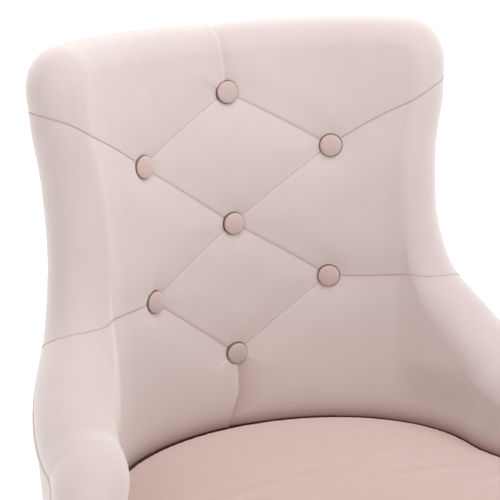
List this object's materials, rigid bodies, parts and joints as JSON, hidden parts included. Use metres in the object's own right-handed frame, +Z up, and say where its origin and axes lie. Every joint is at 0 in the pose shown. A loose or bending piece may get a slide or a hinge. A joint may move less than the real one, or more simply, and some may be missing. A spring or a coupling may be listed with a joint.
{
  "type": "hydraulic styling chair",
  "caption": "Button-tufted velvet tub chair that swivels and lifts on a round-based foot-pumped column, with a plate footrest.",
  "frame": {"origin": "on the floor, on the axis of the pump and its round base", "axes": "+Z up, the sitter faces -Y; the upholstery is symmetric about the YZ plane"},
  "size_m": [0.6638, 0.7488, 0.9845],
  "materials": {
    "velvet": "blush velvet, short pile",
    "velvet_seat": "blush velvet, short pile, seat",
    "velvet_outside": "blush velvet, short pile, outside",
    "piping": "velvet over cord",
    "covered_button": "velvet over a metal shell",
    "foam": "open-cell foam",
    "webbing": "woven elastic webbing",
    "dust_cloth": "non-woven cloth",
    "plywood": "bare birch plywood",
    "chrome": "polished chrome plate",
    "steel": "machined steel",
    "zinc": "zinc-plated steel",
    "casting": "satin black enamel on cast iron",
    "bronze": "bearing bronze",
    "rubber": "moulded rubber"
  },
  "bodies": {
    "base": {"floor_pad": "rubber", "base_plate": "steel", "base_cover": "chrome", "pump_casting": "casting", "base_bolts": "zinc", "base_nuts": "zinc", "pump_shroud": "chrome", "cylinder_sleeve": "steel", "gland_nut": "steel", "gland_bush": "bronze", "wiper_seal": "rubber", "lever_pin": "zinc", "oil_plug": "zinc", "plunger_spring": "steel"},
    "pedal": {"pump_lever": "chrome", "pedal_pad": "rubber"},
    "plunger": {"pump_plunger": "steel"},
    "lift": {"piston_head": "steel", "piston_seals": "rubber", "thrust_race_lower": "steel", "thrust_balls": "steel"},
    "seat": {"thrust_race_upper": "steel", "lift_ram": "chrome", "seat_hub": "casting", "hub_screws": "zinc", "mounting_plate": "casting", "plate_bolts": "zinc", "t_nuts": "zinc", "bottom_board": "plywood", "seat_ring": "plywood", "seat_webbing": "webbing", "seat_foam": "foam", "seat_cover": "velvet_seat", "front_border": "velvet_outside", "dust_cover": "dust_cloth", "back_frame": "plywood", "frame_screws": "zinc", "inside_foam": "foam", "inside_cover": "velvet", "outside_foam": "foam", "outside_cover": "velvet_outside", "rim_welt": "piping", "tufting_buttons": "covered_button", "button_ties": "zinc", "footrest_frame": "chrome", "footrest_brackets": "casting", "footrest_bolts": "zinc", "foot_plate": "chrome", "foot_plate_treads": "rubber", "foot_plate_screws": "zinc", "tube_caps": "rubber"}
  },
  "joints": [
    {"name": "lift", "type": "slide", "parent": "base", "child": "lift", "axis": [0, 0, 1], "range_m": [0, 0.15]},
    {"name": "swivel", "type": "hinge", "parent": "lift", "child": "seat", "pos_m": [0, 0, 0.079], "axis": [0, 0, 1], "continuous": true},
    {"name": "pedal", "type": "hinge", "parent": "base", "child": "pedal", "pos_m": [0, 0.064, 0.092], "axis": [-1, 0, 0], "range_deg": [-12, 13]},
    {"name": "plunger", "type": "slide", "parent": "base", "child": "plunger", "axis": [0, 0, -1], "range_m": [-0.006, 0.0065], "deforming": ["plunger_spring"]}
  ],
  "couplings": [
    {"joint": "plunger", "follows": "pedal", "m_per_rad": 0.027}
  ]
}
